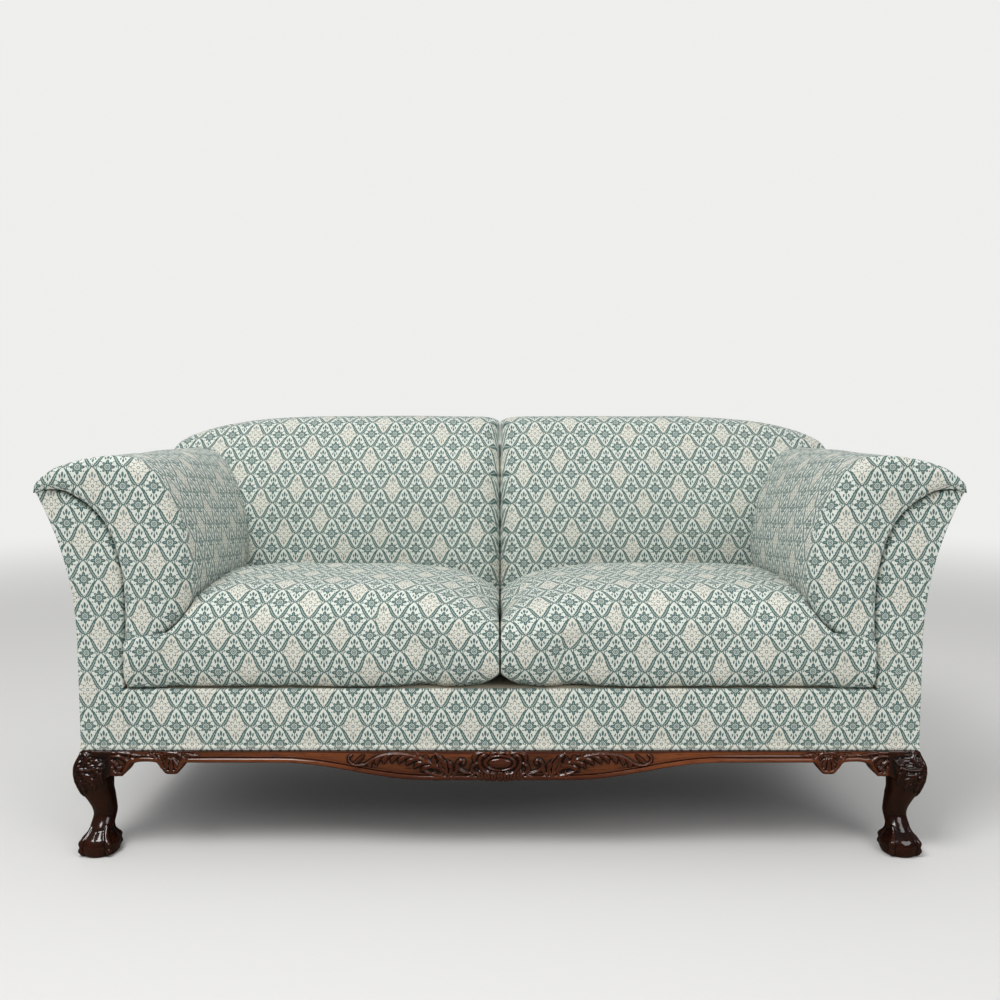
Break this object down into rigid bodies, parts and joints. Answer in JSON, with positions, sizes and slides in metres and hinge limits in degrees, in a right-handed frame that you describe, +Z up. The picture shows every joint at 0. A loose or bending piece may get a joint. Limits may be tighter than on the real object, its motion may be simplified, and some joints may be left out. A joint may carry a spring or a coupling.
{
  "type": "roll arm sofa",
  "caption": "Upholstered sofa with flared rolled arms, split tight back, loose seat cushions, carved front rail and cabriole legs with claw-and-ball feet.",
  "frame": {"origin": "on the floor, under the middle of the sofa's bounding box", "axes": "+X to the right seen from the front, along the length; +Y to the back; +Z up"},
  "size_m": [1.77, 0.76, 0.852],
  "materials": {
    "upholstery": "printed cotton-linen, green-blue leaf lattice on cream",
    "cushion_cover": "printed cotton-linen, green-blue leaf lattice on cream",
    "hem_band": "folded hem of the printed cloth",
    "mahogany": "french polished",
    "stained_beech": "stained, waxed",
    "beech": "sawn, bare",
    "jute_webbing": "woven jute",
    "calico": "plain weave",
    "spring_wire": "coppered spring wire, dulled",
    "black_cloth": "dust cloth"
  },
  "bodies": {
    "frame": {"front_rail": "mahogany", "front_leg_left": "mahogany", "front_leg_right": "mahogany", "seat_rail_left": "beech", "seat_rail_right": "beech", "seat_rail_back": "beech", "corner_block_front_left": "beech", "corner_block_front_right": "beech", "corner_block_rear_left": "beech", "corner_block_rear_right": "beech", "arm_post_front_left": "beech", "arm_post_front_right": "beech", "arm_post_rear_left": "beech", "arm_post_rear_right": "beech", "arm_top_rail_left": "beech", "arm_top_rail_right": "beech", "arm_stuffing_rail_left": "beech", "arm_stuffing_rail_right": "beech", "back_top_rail": "beech", "back_stuffing_rail": "beech", "back_centre_post": "beech", "rear_leg_left": "stained_beech", "rear_leg_right": "stained_beech", "seat_webbing": "jute_webbing", "back_webbing": "jute_webbing", "arm_lining_left": "calico", "arm_lining_right": "calico", "seat_deck": "calico", "seat_spring_1": "spring_wire", "seat_spring_2": "spring_wire", "seat_spring_3": "spring_wire", "seat_spring_4": "spring_wire", "seat_spring_5": "spring_wire", "seat_spring_6": "spring_wire", "seat_spring_7": "spring_wire", "seat_spring_8": "spring_wire", "seat_spring_9": "spring_wire", "seat_spring_10": "spring_wire", "seat_spring_11": "spring_wire", "seat_spring_12": "spring_wire", "lumbar_spring_1": "spring_wire", "lumbar_spring_2": "spring_wire", "lumbar_spring_3": "spring_wire", "lumbar_spring_4": "spring_wire", "front_gimp": "hem_band", "bottom_cloth": "black_cloth", "arm_pad_left": "upholstery", "arm_pad_right": "upholstery", "arm_facing_left": "upholstery", "arm_facing_right": "upholstery", "outside_arm_left": "upholstery", "outside_arm_right": "upholstery", "back_pad_left": "upholstery", "back_pad_right": "upholstery", "outside_back": "upholstery", "seat_border": "upholstery"},
    "left_seat_cushion": {"seat_cushion_left": "cushion_cover"},
    "right_seat_cushion": {"seat_cushion_right": "cushion_cover"}
  },
  "joints": [
    {"name": "left_cushion_slide", "type": "slide", "parent": "frame", "child": "left_seat_cushion", "axis": [0, -1, 0], "range_m": [0, 0.6]},
    {"name": "right_cushion_slide", "type": "slide", "parent": "frame", "child": "right_seat_cushion", "axis": [0, -1, 0], "range_m": [0, 0.6]}
  ]
}
